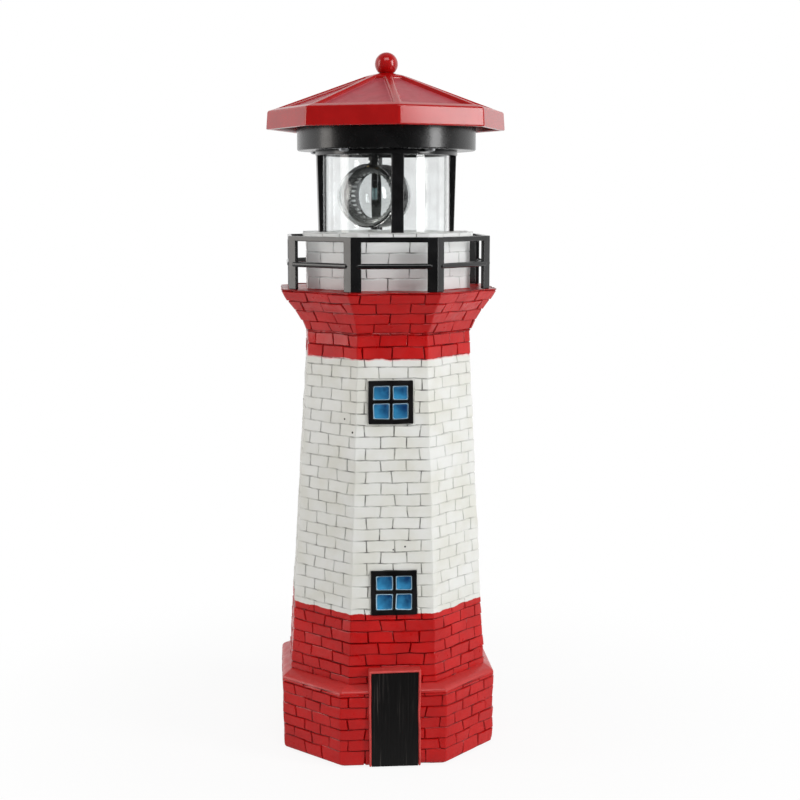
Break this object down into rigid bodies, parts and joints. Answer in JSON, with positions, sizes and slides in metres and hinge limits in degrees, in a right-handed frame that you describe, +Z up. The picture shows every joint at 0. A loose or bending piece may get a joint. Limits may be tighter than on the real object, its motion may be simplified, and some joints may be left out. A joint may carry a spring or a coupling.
{
  "type": "garden lighthouse ornament",
  "caption": "Octagonal brick-relief garden lighthouse with railed gallery and a lift-out solar lantern head whose geared beacon turns inside a clear cylinder.",
  "frame": {"origin": "centre of the footprint, on the ground", "axes": "+Z up along the tower, the door faces -Y, +X to the viewer's right"},
  "size_m": [0.1238, 0.1238, 0.3602],
  "materials": {
    "painted_brick_casting": "cast resin, hand painted in red and white satin enamel, brick relief",
    "black_base_plastic": "moulded, fine grain",
    "plated_screw_steel": "zinc plated",
    "foot_rubber": "matt",
    "black_painted_wood_grain": "cast wood grain under semi-gloss black paint",
    "black_frame_paint": "semi-gloss black paint",
    "blue_pane_paint": "blue enamel, paler towards the edges",
    "black_rail_plastic": "moulded, satin",
    "white_seat_plastic": "moulded, satin",
    "seal_rubber": "matt",
    "black_cage_plastic": "moulded, satin",
    "clear_cylinder": "clear moulded cylinder, polished",
    "black_housing_plastic": "moulded, satin",
    "red_roof_plastic": "moulded in red, high gloss",
    "solar_cell_laminate": "dark silicon cells under clear resin",
    "bush_brass": "turned",
    "gear_nylon": "moulded natural nylon",
    "motor_can_steel": "drawn and plated",
    "axle_steel": "ground",
    "board_green": "solder mask",
    "board_component_plastic": "moulded packages",
    "cell_sleeve": "shrink sleeve",
    "contact_steel": "nickel plated",
    "lamp_lens": "clear epoxy, warm white",
    "lead_sleeve": "PVC sleeve",
    "black_beacon_plastic": "moulded, gloss",
    "clear_dome": "clear moulded dome, polished",
    "switch_cap_plastic": "moulded"
  },
  "bodies": {
    "tower": {"tower_wall": "painted_brick_casting", "base_cover": "black_base_plastic", "base_screws": "plated_screw_steel", "rubber_feet": "foot_rubber", "door": "black_painted_wood_grain", "upper_window_frame": "black_frame_paint", "upper_window_panes": "blue_pane_paint", "lower_window_frame": "black_frame_paint", "lower_window_panes": "blue_pane_paint", "railing": "black_rail_plastic"},
    "lantern_head": {"lantern_base": "white_seat_plastic", "seal_ring": "seal_rubber", "lantern_posts": "black_cage_plastic", "glass_cylinder": "clear_cylinder", "electronics_pan": "black_housing_plastic", "roof": "red_roof_plastic", "finial": "red_roof_plastic", "solar_panels": "solar_cell_laminate", "roof_screws": "plated_screw_steel", "shaft_bush": "bush_brass", "gearbox_plate": "gear_nylon", "gearbox_screws": "plated_screw_steel", "motor": "motor_can_steel", "motor_screws": "plated_screw_steel", "idler_pin": "axle_steel", "circuit_board": "board_green", "board_parts": "board_component_plastic", "battery": "cell_sleeve", "battery_holder": "black_housing_plastic", "battery_contacts": "contact_steel", "led_stem": "black_beacon_plastic", "led": "lamp_lens", "switch_body": "black_housing_plastic", "wires": "lead_sleeve"},
    "beacon": {"beacon_housing": "black_beacon_plastic", "front_lens": "clear_dome", "rear_lens": "clear_dome", "beacon_gear": "gear_nylon"},
    "idler": {"idler_gear": "gear_nylon"},
    "pinion": {"motor_pinion": "bush_brass"},
    "switch": {"switch_slider": "switch_cap_plastic"}
  },
  "joints": [
    {"name": "head_lift", "type": "slide", "parent": "tower", "child": "lantern_head", "axis": [0, 0, 1], "range_m": [0, 0.015]},
    {"name": "beacon_spin", "type": "hinge", "parent": "lantern_head", "child": "beacon", "pos_m": [-0.006, 0, 0.2876], "axis": [0, 0, 1], "continuous": true},
    {"name": "idler_spin", "type": "hinge", "parent": "lantern_head", "child": "idler", "pos_m": [0.01063, -0.0096, 0.318], "axis": [0, 0, 1], "continuous": true},
    {"name": "pinion_spin", "type": "hinge", "parent": "lantern_head", "child": "pinion", "pos_m": [0.01903, 0.00495, 0.318], "axis": [0, 0, 1], "continuous": true},
    {"name": "switch_slide", "type": "slide", "parent": "lantern_head", "child": "switch", "axis": [1, 0, 0], "range_m": [0, 0.004]}
  ],
  "couplings": [
    {"joint": "idler_spin", "follows": "beacon_spin", "ratio": -3},
    {"joint": "pinion_spin", "follows": "beacon_spin", "ratio": 7.5}
  ]
}
